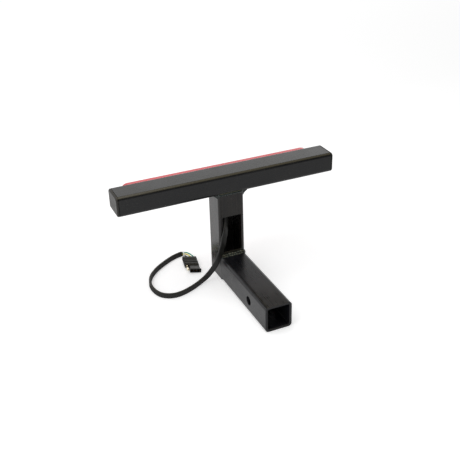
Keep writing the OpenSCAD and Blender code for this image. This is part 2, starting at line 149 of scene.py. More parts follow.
@dataclass(frozen=True)
class Finish:
    """A real surface: what it is made of and how it was finished."""

    name: str
    base: str
    roughness: float
    metallic: float = 0.0
    ior: float = 1.5

    def material(self) -> bpy.types.Material:
        """Returns the material, built on first use."""
        made = bpy.data.materials.get(self.name)
        if made is None:
            made = bpy.data.materials.new(self.name)
            made.use_nodes = True
            tree = made.node_tree
            tree.nodes.clear()
            look = {
                "Base Color": linear(self.base), "Roughness": self.roughness, "Metallic": self.metallic
            }
            shader = add(tree, "BsdfPrincipled", look)
            if not self.metallic:
                shader.inputs["IOR"].default_value = self.ior
            add(tree, "OutputMaterial", {"Surface": shader})
            where = add(tree, "TexCoord").outputs["Object"]
            self.detail(tree, shader, where)
        return made

    def detail(self, tree: Tree, shader: Node, where: Socket) -> None:
        """Adds the finish's own pattern; a plain finish has none.

        Args:
            tree: the material's nodes.
            shader: the principled shader.
            where: the position on the part, in metres.
        """

    def vary_sheen(
        self, tree: Tree, shader: Node, pattern: Node,
        down: float, up: float, spread: float = 0.2,
    ) -> None:
        """Lets a pattern move the roughness about its own value.

        Args:
            tree: the material's nodes.
            shader: the principled shader.
            pattern: the pattern, which lies about 0.5.
            down: how much smoother the surface gets.
            up: how much rougher it gets.
            spread: how far from 0.5 the pattern has to be for that.
        """
        low, high = self.roughness - down, self.roughness + up
        moved = {
            "Value": pattern, "From Min": 0.5 - spread, "From Max": 0.5 + spread, "To Min": low,
            "To Max": high,
        }
        wire(tree, shader, {"Roughness": add(tree, "MapRange", moved)})


@dataclass(frozen=True)
class PowderCoat(Finish):
    """Satin black polyester powder, baked on drawn steel tube."""

    grain: Grain = Grain.NONE
    # The pale colour is the film's lighter tone; on the riser, shank and weld it also holds a painted
    # reflection tint.
    pale: str = "#1d1d1e"
    # The specks' colour: real dust on the tubes; on the weld, painted teal sheen.
    dust_and_sheen: str = "#4a4846"
    peel_mm: float = 1.8
    streak_mm: float = 1.5

    def detail(self, tree: Tree, shader: Node, where: Socket) -> None:
        """Orange peel, cloudy film thickness, drawing lines showing through, and specks of dust, which on
        the weld are patches of painted teal sheen.
        """
        # Orange peel of real powder is about 0.8 mm; drawn at 1.8 mm so that it shows.
        drawn = add(tree, "Mapping", {"Vector": where, "Scale": self.grain.value})
        patterns = (
            (where, self.peel_mm, 1.0), (where, 34, 3.0), (drawn, self.streak_mm, 3.0), (where, 2.6, 4.0)
        )
        peel, cloud, lines, specks = (
            add(tree, "TexNoise", {"Vector": at, "Scale": per_metre(size), "Detail": detail})
            for at, size, detail in patterns
        )
        both = add(tree, "Math", {0: cloud, 1: lines}, operation="ADD")
        mean = add(tree, "Math", {0: both, 1: 0.5}, operation="MULTIPLY")
        coat = add(tree, "ValToRGB", {"Fac": mean}, stops=((0.36, self.base), (0.62, self.pale)))
        # Specks: real dust on the tubes, painted teal sheen on the weld.
        dust_and_sheen_specks = {"Value": specks, "From Min": 0.62, "From Max": 0.76, "To Max": 0.45}
        amount = add(tree, "MapRange", dust_and_sheen_specks)
        mixed = {"Factor": amount, 6: coat, 7: linear(self.dust_and_sheen)}
        colour = add(tree, "Mix", mixed, data_type="RGBA").outputs[2]
        wire(tree, shader, {"Base Color": colour})
        self.vary_sheen(tree, shader, mean, 0.07, 0.08, 0.16)
        skin = add(tree, "Bump", {"Height": peel, "Distance": 0.05 * MM, "Strength": 0.5})
        drawing = {
            "Height": lines, "Distance": 0.03 * self.streak_mm * MM, "Strength": 0.4, "Normal": skin
        }
        wire(tree, shader, {"Normal": add(tree, "Bump", drawing)})


@dataclass(frozen=True)
class MouldedPlastic(Finish):
    """Injection-moulded thermoplastic with a spark-eroded mould texture."""

    texture_mm: float = 1.2
    relief_mm: float = 0.05

    def detail(self, tree: Tree, shader: Node, where: Socket) -> None:
        """A fine even pebble, with slow sheen changes where the melt flowed."""
        pebble = add(
            tree, "TexNoise", {"Vector": where, "Scale": per_metre(self.texture_mm), "Detail": 2.0}
        )
        flow = add(tree, "TexNoise", {"Vector": where, "Scale": per_metre(18), "Detail": 2.0})
        self.vary_sheen(tree, shader, flow, 0.05, 0.06)
        relief = {"Height": pebble, "Distance": self.relief_mm * MM, "Strength": 0.6}
        wire(tree, shader, {"Normal": add(tree, "Bump", relief)})


@dataclass(frozen=True)
class SoftPvc(Finish):
    """Extruded or over-moulded soft PVC, with a waxy bloom."""

    bloom: str = "#2a2a2a"
    scuff_mm: float = 9.0

    def detail(self, tree: Tree, shader: Node, where: Socket) -> None:
        """A waxy, slightly patchy skin with fine scuffs."""
        patch = add(tree, "TexNoise", {"Vector": where, "Scale": per_metre(self.scuff_mm), "Detail": 3.0})
        fine = add(tree, "TexNoise", {"Vector": where, "Scale": per_metre(0.9), "Detail": 1.0})
        colour = add(tree, "ValToRGB", {"Fac": patch}, stops=((0.38, self.base), (0.66, self.bloom)))
        wire(tree, shader, {"Base Color": colour})
        self.vary_sheen(tree, shader, patch, 0.05, 0.08)
        relief = {"Height": fine, "Distance": 0.03 * MM, "Strength": 0.4}
        wire(tree, shader, {"Normal": add(tree, "Bump", relief)})


@dataclass(frozen=True)
class WireSkin(Finish):
    """Glossy PVC insulation drawn over a stranded wire."""

    def detail(self, tree: Tree, shader: Node, where: Socket) -> None:
        """A faint dirtiness from handling."""
        smudge = add(tree, "TexNoise", {"Vector": where, "Scale": per_metre(5), "Detail": 2.0})
        self.vary_sheen(tree, shader, smudge, 0.05, 0.12)


@dataclass(frozen=True)
class LensPlastic(Finish):
    """Red polycarbonate, moulded clear, with flutes on its inner face under a polished skin."""

    flute_pitch_mm: float = FLUTE_PITCH
    clear: float = 0.15

    def detail(self, tree: Tree, shader: Node, where: Socket) -> None:
        """Flutes across the lens in the lower layer, and a smooth clear coat for the polished outside."""
        shader.inputs["Transmission Weight"].default_value = self.clear
        shader.inputs["Coat Weight"].default_value = 0.2
        shader.inputs["Coat Roughness"].default_value = 0.04
        shader.inputs["Coat IOR"].default_value = self.ior
        along = add(tree, "SeparateXYZ", {"Vector": where}).outputs["X"]
        turns = 2 * math.pi / (self.flute_pitch_mm * MM)
        angle = add(tree, "Math", {0: along, 1: turns}, operation="MULTIPLY")
        wave = add(tree, "Math", {0: angle}, operation="COSINE")
        smooth = add(tree, "NewGeometry").outputs["Normal"]
        facing = add(
            tree, "Math", {0: add(tree, "SeparateXYZ", {"Vector": smooth}).outputs["Y"]},
            operation="ABSOLUTE",
        )
        flute = add(tree, "Math", {0: wave, 1: facing}, operation="MULTIPLY")
        stipple = add(tree, "TexNoise", {"Vector": where, "Scale": per_metre(1.6), "Detail": 1.0})
        ribs = add(tree, "Bump", {"Height": flute, "Distance": 0.5 * MM, "Strength": 0.8})
        grainy = {"Height": stipple, "Distance": 0.06 * MM, "Strength": 0.4, "Normal": ribs}
        wire(tree, shader, {"Normal": add(tree, "Bump", grainy)})
        wire(tree, shader, {"Coat Normal": smooth})


@dataclass(frozen=True)
class TurnedMetal(Finish):
    """Bright metal straight from the lathe or the heading machine."""

    stain: str = "#8c6a35"
    mark_mm: float = 0.5

    def detail(self, tree: Tree, shader: Node, where: Socket) -> None:
        """Fine tool marks and a little tarnish."""
        marks = add(tree, "TexNoise", {"Vector": where, "Scale": per_metre(self.mark_mm), "Detail": 2.0})
        tarnish = add(tree, "TexNoise", {"Vector": where, "Scale": per_metre(4), "Detail": 3.0})
        colour = add(tree, "ValToRGB", {"Fac": tarnish}, stops=((0.42, self.base), (0.72, self.stain)))
        wire(tree, shader, {"Base Color": colour})
        relief = {"Height": marks, "Distance": 0.02 * MM, "Strength": 0.4}
        wire(tree, shader, {"Normal": add(tree, "Bump", relief)})


@dataclass(frozen=True)
class Foam(Finish):
    """Closed-cell foam tape."""

    def detail(self, tree: Tree, shader: Node, where: Socket) -> None:
        """Small open cells along the cut edge."""
        cells = add(tree, "TexVoronoi", {"Vector": where, "Scale": per_metre(0.9)})
        relief = {"Height": cells, "Distance": 0.15 * MM, "Strength": 0.7}
        wire(tree, shader, {"Normal": add(tree, "Bump", relief)})


STEEL_BASE = "#0e0f11"
STEEL_BAR = PowderCoat(
    "powder_coat_crossbar", STEEL_BASE, 0.25, ior=1.43, grain=Grain.ALONG_X, pale="#171718"
)
# The riser wears the same black powder as the other tubes; its brownish pale tone is a painted warm
# reflection, the brown its left side shows under the light.
STEEL_RISER = PowderCoat(
    "powder_coat_riser_painted_warm_reflection", "#0a0a0b", 0.27, ior=1.43, grain=Grain.ALONG_Z, pale="#201c19", streak_mm=4.0
)
# The shank wears the same black powder; its bluish tone is a painted reflection of the pale floor beside its
# left side.
STEEL_SHANK = PowderCoat(
    "powder_coat_shank_painted_blue_reflection", "#0b0c0f", 0.3, ior=1.43, grain=Grain.ALONG_Y, pale="#16161b"
)
# The welds wear the same black powder; their teal tone and teal specks are painted reflection, the sheen the
# bead strands catch.
WELD_COAT = PowderCoat(
    "powder_coat_weld_painted_teal_reflection", "#0a0e0d", 0.2, pale="#212c2a", dust_and_sheen="#212c2a", peel_mm=5.0, streak_mm=3.0
)
CAP_PLASTIC = MouldedPlastic("moulded_polyethylene_cap", "#1a1612", 0.42, ior=1.45)
LAMP_BASE_PLASTIC = MouldedPlastic("moulded_abs_lamp_base", "#141415", 0.4, texture_mm=0.9)
LENS_RED = LensPlastic("polycarbonate_red_lens", "#dc1f2e", 0.16, ior=1.5)
GASKET = Foam("closed_cell_foam", "#151515", 0.85)
BOARD = MouldedPlastic("white_solder_mask", "#dfe2da", 0.35, texture_mm=2.5, relief_mm=0.02)
LED = WireSkin("led_silicone", "#e8cf8a", 0.15)
SCREW_STEEL = TurnedMetal("stainless_screw", "#c9cacc", 0.28, metallic=1.0, stain="#9b9b98")
GROMMET = SoftPvc("grommet_rubber", "#161616", 0.6)
JACKET = SoftPvc("pvc_flat_jacket", "#080807", 0.42, ior=1.42, bloom="#11110e")
PLUG_PVC = SoftPvc("overmoulded_plug_pvc", "#070708", 0.42, ior=1.42, bloom="#101012")
BRASS = TurnedMetal("turned_brass", "#fffaec", 0.3, metallic=1.0, stain="#efe2bd")
SLEEVE_BRASS = TurnedMetal("drawn_brass_sleeve", "#8a6a38", 0.35, metallic=1.0, stain="#4c3517")


# ---- meshes


def rounded_rect(width: float, height: float, radius: float, steps: int = 6) -> list[Point]:
    """A rectangle with round corners, anticlockwise.

    Args:
        width: overall width.
        height: overall height.
        radius: corner radius, held to what the rectangle allows.
        steps: edges in each corner.

    Returns:
        The outline's points.
    """
    r = max(min(radius, width / 2 - 1e-4, height / 2 - 1e-4), 1e-3)
    points = []
    for quarter, (sx, sy) in enumerate(((1, 1), (-1, 1), (-1, -1), (1, -1))):
        for k in range(steps + 1):
            a = math.radians(90 * (quarter + k / steps))
            points.append(
                (sx * (width / 2 - r) + r * math.cos(a), sy * (height / 2 - r) + r * math.sin(a))
            )
    return points


def lift(points: Iterable[Point], along: float, shift: Point = (0.0, 0.0)) -> Ring:
    """Places a flat outline at a distance along the local z axis, in millimetres."""
    return [Vector((x + shift[0], y + shift[1], along)) for x, y in points]


def loft(
    name: str, rings: Sequence[Ring], place: Matrix, finish: Finish, ends: Ends = Ends.CAPPED,
    sharp: float = 38.0,
) -> Piece:
    """Skins a row of closed rings into one mesh object.

    Args:
        name: the piece's name.
        rings: rings of equal length, in millimetres.
        place: from the rings' space to the row frame, in millimetres.
        finish: the surface.
        ends: whether the ends are capped, or joined to each other.
        sharp: edges sharper than this many degrees stay sharp.

    Returns:
        The object, linked to the scene.
    """
    count = len(rings[0])
    verts = [(place @ v) * MM for ring in rings for v in ring]
    faces = []
    rows = len(rings) if ends is Ends.JOINED else len(rings) - 1
    for i in range(rows):
        a, b = i * count, ((i + 1) % len(rings)) * count
        faces += [(a + k, a + (k + 1) % count, b + (k + 1) % count, b + k) for k in range(count)]
    if ends is Ends.CAPPED:
        faces.append(tuple(reversed(range(count))))
        faces.append(tuple((len(rings) - 1) * count + k for k in range(count)))
    mesh = bpy.data.meshes.new(name)
    mesh.from_pydata(verts, [], faces)
    piece = bpy.data.objects.new(name, mesh)
    bpy.context.scene.collection.objects.link(piece)
    settle(piece, finish, sharp)
    return piece


def settle(piece: Piece, finish: Finish, sharp: float = 38.0) -> None:
    """Turns the faces outwards, shades them smooth between sharp edges, and sets the finish."""
    mesh = piece.data
    work = bmesh.new()
    work.from_mesh(mesh)
    bmesh.ops.recalc_face_normals(work, faces=work.faces)
    work.to_mesh(mesh)
    work.free()
    mesh.polygons.foreach_set("use_smooth", [True] * len(mesh.polygons))
    mesh.set_sharp_from_angle(angle=math.radians(sharp))
    mesh.materials.clear()
    mesh.materials.append(finish.material())


def cut(piece: Piece, cutters: Sequence[Piece], finish: Finish) -> None:
    """Cuts solids out of a piece for good, and removes them."""
    for cutter in cutters:
        step = piece.modifiers.new("cut", "BOOLEAN")
        step.operation = "DIFFERENCE"
        step.solver = "EXACT"
        step.object = cutter
    graph = bpy.context.evaluated_depsgraph_get()
    mesh = bpy.data.meshes.new_from_object(piece.evaluated_get(graph))
    piece.modifiers.clear()
    piece.data = mesh
    for cutter in cutters:
        bpy.data.objects.remove(cutter)
    settle(piece, finish)


def flat_faces(piece: Piece) -> None:
    """Keeps large flats flat where they meet small rounds."""
    step = piece.modifiers.new("flats", "WEIGHTED_NORMAL")
    step.keep_sharp = True
    step.weight = 100


def merge(name: str, pieces: Sequence[Piece]) -> Piece:
    """Joins pieces into the first one, under a new name."""
    first = pieces[0]
    work = bmesh.new()
    for piece in pieces:
        work.from_mesh(piece.data)
    work.to_mesh(first.data)
    work.free()
    for piece in pieces[1:]:
        bpy.data.objects.remove(piece)
    first.name = name
    return first


def show(piece: Piece, nodes: Sequence[str]) -> Piece:
    """Sets a new piece in place of CAD nodes and reports it.

    Args:
        piece: the finished piece.
        nodes: the CAD nodes that it stands for.

    Returns:
        The piece.
    """
    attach(piece, BODY)
    if nodes:
        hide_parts(*nodes)
    log.info("%s: %d faces, for %s", piece.name, len(piece.data.polygons), ", ".join(nodes) or "no node")
    return piece


def dress(node: str, finish: Finish) -> None:
    """Gives a CAD node that keeps its own shape its finish."""
    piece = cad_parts[node]
    for entry in piece.material_slots:
        entry.material = finish.material()
    log.info("%s: keeps its shape, in %s", node, finish.name)


def axes(origin: Sequence[float], u: Sequence[float], v: Sequence[float], w: Sequence[float]) -> Matrix:
    """The matrix that puts local x, y and z along u, v and w at origin, in millimetres."""
    columns = [Vector(u), Vector(v), Vector(w), Vector(origin)]
    made = Matrix.Identity(4)
    for c, column in enumerate(columns):
        for r in range(3):
            made[r][c] = column[r]
    return made


def smooth_route(points: Sequence[Sequence[float]], step: float) -> list[Vector]:
    """Draws one smooth curve through the given points and spaces it evenly.

    Args:
        points: the points, in millimetres.
        step: the spacing of the result, in millimetres.

    Returns:
        Points along the curve.
    """
    knots = [Vector(p) for p in points]
    knots = [2 * knots[0] - knots[1], *knots, 2 * knots[-1] - knots[-2]]
    dense = []
    for p0, p1, p2, p3 in zip(knots, knots[1:], knots[2:], knots[3:]):
        for k in range(24):
            t = k / 24
            dense.append(
                0.5 * (
                    2 * p1 + (p2 - p0) * t + (2 * p0 - 5 * p1 + 4 * p2 - p3) * t**2 + (
                        3 * p1 - p0 - 3 * p2 + p3
                    ) * t**3
                )
            )
    dense.append(knots[-2])
    lengths = [0.0]
    for a, b in zip(dense, dense[1:]):
        lengths.append(lengths[-1] + (b - a).length)
    count = max(2, round(lengths[-1] / step))
    made, j = [], 0
    for k in range(count + 1):
        target = lengths[-1] * k / count
        while j < len(lengths) - 2 and lengths[j + 1] < target:
            j += 1
        share = (target - lengths[j]) / max(lengths[j + 1] - lengths[j], 1e-9)
        made.append(dense[j].lerp(dense[j + 1], min(share, 1.0)))
    return made


def heading(line: Sequence[Vector], i: int) -> Vector:
    """The direction of a line of points at its point i."""
    return (line[min(i + 1, len(line) - 1)] - line[max(i - 1, 0)]).normalized()


def turned(rows: Iterable[Point], x: float, steps: int = 8) -> list[Ring]:
    """Rings of a round shape, from rows of a place along its axis and a radius, set off by x."""
    return [lift(rounded_rect(2 * r, 2 * r, r, steps), a, (x, 0.0)) for a, r in rows]


def round_over(top: float, edge: float) -> list[Point]:
    """Rows of a place along an axis and an inset, for a quarter round of radius edge that ends at top."""
    angles = [math.radians(10 * k) for k in range(10)]
    return [(top - edge + edge * math.sin(a), edge * (1 - math.cos(a))) for a in angles]


# ---- steelwork


@dataclass
class Tube:
    """A length of square or rectangular tube with broken edges at both cut ends."""

    name: str
    width: float
    height: float
    wall: float
    corner: float
    length: float
    place: Matrix
    finish: Finish
    edge_break: float = 0.6

    def rings(self) -> list[Ring]:
        """Rings round the wall: outside from end to end, over the rim and back along the inside."""
        e, half = self.edge_break, self.length / 2
        rim = [
            (half - e, 0.0), (half - 0.3 * e, 0.3 * e), (half, e), (half, self.wall - e),
            (half - e, self.wall),
        ]
        profile = [(-a, inset) for a, inset in rim[::-1]] + rim
        made = []
        for along, inset in profile:
            outline = rounded_rect(
                self.width - 2 * inset, self.height - 2 * inset, self.corner - inset, 8
            )
            made.append(lift(outline, along))
        return made

    def build(self, cutters: Sequence[Piece] = ()) -> Piece:
        """Builds the tube and cuts its holes.

        Args:
            cutters: solids to cut away.

        Returns:
            The tube.
        """
        piece = loft(self.name, self.rings(), self.place, self.finish, Ends.JOINED)
        if cutters:
            cut(piece, cutters, self.finish)
        flat_faces(piece)
        return piece


@dataclass
class Hole:
    """A straight hole through a wall, with its outer edge broken."""

    width: float
    height: float
    corner: float
    place: Matrix
    outside: float
    depth: float
    flare: float = 0.5

    def cutter(self) -> Piece:
        """Builds the solid that cuts the hole; it starts outside the wall and runs along local z."""
        rows = [
            (self.outside + 2, self.flare), (self.outside, self.flare), (self.outside - self.flare, 0.0),
            (self.outside - self.depth, 0.0),
        ]
        rings = [
            lift(rounded_rect(self.width + 2 * f, self.height + 2 * f, self.corner + f, 9), a)
            for a, f in rows
        ]
        return loft("cutter", rings, self.place, STEEL_SHANK)


@dataclass
class SteelFrame:
    """Shank, riser and crossbar: three drawn tubes, powder coated after welding."""

    square: float = 50.8
    rear_y: float = 114.3
    shank_length: float = 190.5
    shank_wall: float = 4.8
    riser_height: float = 177.8
    riser_wall: float = 3.1
    bar_height: float = 38.1
    bar_length: float = 419.1
    bar_corner: float = 6.4
    pin_hole: float = 16.7
    pin_inset: float = 68.0
    window: Point = (38.0, 74.0)
    sill: float = 7.2
    shank_corner: float = 7.0
    riser_corner: float = 5.0
    seam_x: float = 6.0
    hole_x: float = -4.0
    lead_hole: float = 18.1
    lead_hole_ahead: float = 2.9
    spigot_hole: float = 15.1
    screw_hole: float = 4.2
    hole_depth: float = 8.0

    @property
    def riser_y(self) -> float:
        """Middle of the riser and the crossbar, front to back."""
        return self.rear_y - self.square / 2

    @property
    def joint_y(self) -> float:
        """Where the shank's end meets the riser's front."""
        return self.rear_y - self.square

    @property
    def bar_z(self) -> float:
        """Middle height of the crossbar."""
        return self.riser_height + self.bar_height / 2

    def build(self) -> None:
        """Builds the three tubes."""
        self.build_shank()
        self.build_riser()
        self.build_bar()

    def build_shank(self) -> None:
        """Receiver tube with its pin hole and the tube mill's seam inside."""
        front = self.joint_y - self.shank_length
        mid = (0.0, (front + self.joint_y) / 2, self.square / 2)
        hole_at = (0.0, front + self.pin_inset, self.square / 2)
        cutters = []
        for side in (-1, 1):
            way = axes(hole_at, Y, Z, (side, 0, 0))
            cutters.append(
                Hole(self.pin_hole, self.pin_hole, self.pin_hole / 2, way, self.square / 2, 20).cutter()
            )
        tube = Tube(
            "shank", self.square, self.square, self.shank_wall, self.shank_corner, self.shank_length,
            axes(mid, X, Z, Y), STEEL_SHANK,
        )
        body = tube.build(cutters)
        # The welded seam of the tube itself stands 0.8 mm proud inside, a little off the middle.
        seam_at = (self.seam_x, mid[1], self.shank_wall - 0.4)
        rows = [
            lift(rounded_rect(3.2 - 2 * i, 2.4 - i, 1.1, 4), a)
            for a, i in ((-95, 0.5), (-94, 0.0), (94, 0.0), (95, 0.5))
        ]
        seam = loft("seam", rows, axes(seam_at, X, Z, Y), STEEL_SHANK)
        show(merge("shank", [body, seam]), ["shank_tube"])

    def build_riser(self) -> None:
        """Upright tube with the window in its front wall."""
        mid = (0.0, self.riser_y, self.riser_height / 2)
        sill_mid = (0.0, self.riser_y, self.square + self.sill + self.window[1] / 2)
        way = axes(sill_mid, X, Z, (0, -1, 0))
        cutter = Hole(*self.window, 2.0, way, self.square / 2, 12, 0.4).cutter()
        tube = Tube(
            "riser", self.square, self.square, self.riser_wall, self.riser_corner, self.riser_height,
            axes(mid, X, Y, Z), STEEL_RISER, 1.5,
        )
        show(tube.build([cutter]), ["riser_tube"])

    def build_bar(self) -> None:
        """Crossbar with the holes for the lead, the lamp's spigot and its two screws."""
        mid = (0.0, self.riser_y, self.bar_z)
        down = axes((self.hole_x, self.riser_y - self.lead_hole_ahead, self.bar_z), X, Y, (0, 0, -1))
        back = axes((self.hole_x, self.riser_y, self.bar_z), X, Z, Y)
        holes = [
            (self.lead_hole, down, self.bar_height / 2, 0.2),
            (self.spigot_hole, back, self.square / 2, 0.2),
        ]
        for x in (-SCREW_X, SCREW_X):
            way = axes((x, self.riser_y, self.bar_z), X, Z, Y)
            holes.append((self.screw_hole, way, self.square / 2, 0.1))
        cutters = [
            Hole(d, d, d / 2, way, face, self.hole_depth, flare).cutter() for d, way, face, flare in holes
        ]
        tube = Tube(
            "crossbar", self.square, self.bar_height, self.riser_wall, self.bar_corner, self.bar_length,
            axes(mid, Y, Z, X), STEEL_BAR, 0.7,
        )
        show(tube.build(cutters), ["crossbar_tube"])


@dataclass
class WeldBead:
    """A wire-fed weld bead, laid as a row of overlapping ripples."""

    radius: float
    ripple: float = 0.32
    pitch: float = 2.4
    seed: float = 0.0
    lump: float = 0.3

    def height(self, along: float, swing: float) -> float:
        """Height of the ripples at one spot of the bead.

        Args:
            along: distance along the bead.
            swing: angle away from the bead's crown, in radians.

        Returns:
            Millimetres above the bead's round.
        """
        phase = along / self.pitch + 0.55 * (swing / 1.3) ** 2 + 0.35 * noise.noise(
            Vector((along * 0.16, self.seed, 0.0))
        )
        share = phase - math.floor(phase)
        scale = (1 - share) ** 0.7 * min(1.0, share * 7)
        swell = self.lump * noise.noise(Vector((along * 0.14, swing, self.seed + 4.0)))
        return self.ripple * scale * max(0.0, math.cos(swing * 0.8)) + swell

    def round_ring(self, at: Vector, out: Vector, up: Vector, along: float, size: float = 1.0) -> Ring:
        """One ring of a round bead, whose crown faces half way between out and up."""
        made = []
        for k in range(28):
            a = 2 * math.pi * k / 28
            swing = (a - math.pi / 4 + math.pi) % (2 * math.pi) - math.pi
            lifted = (self.radius + (self.height(along, swing) if abs(swing) < 1.7 else 0.0) - 0.2) * size
            made.append(at + lifted * (math.cos(a) * out + math.sin(a) * up))
        return made

    def loop(
        self, half_x: float, half_y: float, corner: float, step: float
    ) -> list[tuple[Vector, Vector]]:
        """Points and outward directions round a rectangle, starting at the middle of its far side."""
        fine = rounded_rect(2 * half_x, 2 * half_y, corner, 12)
        start = 13
        outline = [Vector((x, y, 0)) for x, y in fine]
        middle = Vector((0, half_y, 0))
        path = [middle, *outline[start:], *outline[:start], middle]
        route, made = [path[0]], []
        for a, b in zip(path, path[1:]):
            pieces = max(1, round((b - a).length / step))
            route += [a.lerp(b, k / pieces) for k in range(1, pieces + 1)]
        for i, p in enumerate(route):
            ahead = heading(route, i)
            made.append((p, ahead.cross(Vector(Z))))
        return made


@dataclass
class Welds:
    """Beads between shank and riser on three sides, and beads and fillets round the riser's top."""

    frame_sizes: SteelFrame
    foot_radius: float = 5.5
    strand_radius: float = 3.4
    top_radius: float = 3.9
    fillet_leg: float = 8.0
    sunk: float = 1.0
    overrun: float = 1.6
    strand_ahead: float = 4.6
    strand_drop: float = 0.4
    strand_short: float = 0.6
    strip: Point = (3.2, 7.4)
    strip_at: Point = (1.55, 2.4)
    strip_rows: tuple = ((0.3, 0.8), (1.2, 0.0), (47.5, 0.0), (49.5, 1.0))

    def build(self) -> None:
        """Builds both welds."""
        self.build_foot()
        self.build_top()

    def build_foot(self) -> None:
        """Two strands of bead across the shank's top; the other sides are dressed flush."""
        sizes = self.frame_sizes
        edge = sizes.square / 2 - self.sunk
        corner = Vector((0, sizes.joint_y + self.sunk, sizes.square - self.sunk))
        across, out, up = Vector(X), Vector((0, -1, 0)), Vector(Z)
        crown = WeldBead(self.foot_radius, ripple=0.8, pitch=6.0, seed=1.0, lump=0.6)
        reach = edge + self.overrun
        rings = self.straight(crown, corner - across * reach, across, 2 * reach, out, up, 4.2)
        pieces = [loft("bead", rings, HERE, WELD_COAT, sharp=80)]
        low = WeldBead(self.strand_radius, ripple=0.7, pitch=5.0, seed=5.0, lump=0.6)
        reach = edge - self.strand_short
        start = corner - across * reach + out * self.strand_ahead - up * self.strand_drop
        rings = self.straight(low, start, across, 2 * reach, out, up, 3.0)
        pieces.append(loft("bead", rings, HERE, WELD_COAT, sharp=80))
        show(merge("weld_foot_bead", pieces), ["weld_foot"])
        for side, name in ((-1, "weld_side_left"), (1, "weld_side_right")):
            strip_at = (side * (sizes.square / 2 - self.strip_at[0]), sizes.joint_y + self.strip_at[1], 0)
            way = axes(strip_at, X, Y, Z)
            wide, deep = self.strip
            rows = [lift(rounded_rect(wide - 2 * i, deep - 2 * i, 1.2, 4), z) for z, i in self.strip_rows]
            show(loft(name, rows, way, STEEL_SHANK, sharp=50), [])

    def straight(
        self, bead: WeldBead, start: Vector, way: Vector, length: float, out: Vector, up: Vector,
        taper: float,
    ) -> list[Ring]:
        """Rings of a straight bead with rounded ends.

        Args:
            bead: the bead.
            start: its first point.
            way: the direction it runs in.
            length: its length.
            out: one side of the corner that it fills.
            up: the other side.
            taper: length over which each end rounds off.

        Returns:
            The rings.
        """
        step = 0.4
        count = round(length / step)
        rings = []
        for i in range(count + 1):
            along = length * i / count
            short = min(along, length - along)
            size = 0.3 + 0.7 * math.sqrt(1 - (1 - min(short / taper, 1.0)) ** 2)
            wander = 0.3 * noise.noise(Vector((along * 0.13, 2.0, bead.seed)))
            rings.append(bead.round_ring(start + way * along + out * wander, out, up, along, size))
        return rings

    def build_top(self) -> None:
        """A ring of bead in the groove under the crossbar, and a wide fillet at each side."""
        sizes = self.frame_sizes
        bead = WeldBead(self.top_radius, ripple=0.5, pitch=3.0, seed=8.0)
        half = sizes.square / 2 - 2.75
        base = Vector((0, sizes.riser_y, sizes.riser_height + 0.5))
        rings = []
        for i, (p, out) in enumerate(bead.loop(half, half, 3.0, 0.5)):
            if p.y < half - 0.5:
                rings.append(bead.round_ring(base + p, out, Vector((0, 0, -1)), i * 0.5))
        pieces = [loft("bead", rings, HERE, WELD_COAT, sharp=80)]
        pieces += [self.side_fillet(side, bead) for side in (-1, 1)]
        show(merge("weld_top_bead", pieces), ["weld_top"])

    def side_fillet(self, side: int, bead: WeldBead) -> Piece:
        """One hollow fillet between the riser's side and the crossbar's underside."""
        sizes, leg = self.frame_sizes, self.fillet_leg
        corner = Vector((side * sizes.square / 2, sizes.riser_y, sizes.riser_height))
        hollow = leg * 1.5
        radius = math.hypot(hollow - leg, hollow)
        first = math.atan2(hollow - leg, -hollow)
        last = math.atan2(hollow, -(hollow - leg))
        rings = []
        count = 92
        for i in range(count + 1):
            y = (i / count - 0.5) * (sizes.square - 5.0)
            ring = [
                corner + Vector((-side, y, -leg)), corner + Vector((-side, y, 1)),
                corner + Vector((side * leg, y, 1)),
            ]
            for k in range(13):
                a = last + (first - last) * k / 12
                swing = (k / 6 - 1) * 1.1
                deep = radius - bead.height(y + 60, swing) * math.cos(swing)
                ring.append(
                    corner + Vector(
                        (side * (hollow + deep * math.cos(a)), y, -hollow + deep * math.sin(a))
                    )
                )
            rings.append(ring)
        return loft("fillet", rings, HERE, WELD_COAT, sharp=60)


@dataclass
class TubeCap:
    """A pressed-in plastic cap: a plate with a rounded edge on a hollow insert."""

    name: str
    width: float
    height: float
    corner: float
    wall: float
    place: Matrix
    flange: float = 4.5
    joint: tuple = ((0.05, 1.7), (0.7, 1.6), (1.05, 0.15))
    edge: float = 3.8
    insert: float = 14.0
    clear: float = 0.4

    def build(self, node: str) -> Piece:
        """Builds the cap, which stands for the CAD node.

        Args:
            node: the CAD node's name.

        Returns:
            The cap.
        """
        rows = [*self.joint, *round_over(self.flange, self.edge)]
        # The face sinks slightly towards its middle, as thick mouldings do on cooling.
        rows += [(self.flange - 0.05, 5.0), (self.flange - 0.12, 9.0), (self.flange - 0.16, 13.0)]
        plate = loft(
            "plate",
            [
                lift(
                    rounded_rect(self.width - 2 * i, self.height - 2 * i, max(self.corner - i, 0.8), 8), a
                )
                for a, i in rows
            ],
            self.place, CAP_PLASTIC, sharp=50,
        )
        in_w, in_h = (s - 2 * self.wall - 2 * self.clear for s in (self.width, self.height))
        skirt_rows = [
            (0.2, 0.0), (-self.insert + 0.8, 0.0), (-self.insert, 0.6), (-self.insert, 2.2), (-1.0, 2.4)
        ]
        skirt = loft(
            "skirt",
            [
                lift(
                    rounded_rect(in_w - 2 * i, in_h - 2 * i, max(self.corner - self.wall - i, 0.6), 8), a
                )
                for a, i in skirt_rows
            ],
            self.place, CAP_PLASTIC, sharp=50,
        )
        return show(merge(self.name, [plate, skirt]), [node])


@dataclass
class Caps:
    """The two crossbar caps."""

    sizes: SteelFrame

    def build(self) -> None:
        """Builds both caps."""
        s = self.sizes
        for side, node in ((-1, "end_cap_left"), (1, "end_cap_right")):
            way = axes((side * s.bar_length / 2, s.riser_y, s.bar_z), Y, Z, (side, 0, 0))
            TubeCap(
                "cap_left" if side < 0 else "cap_right", s.square, s.bar_height, s.bar_corner,
                s.riser_wall, way,
            ).build(node)


# ---- lead and plug


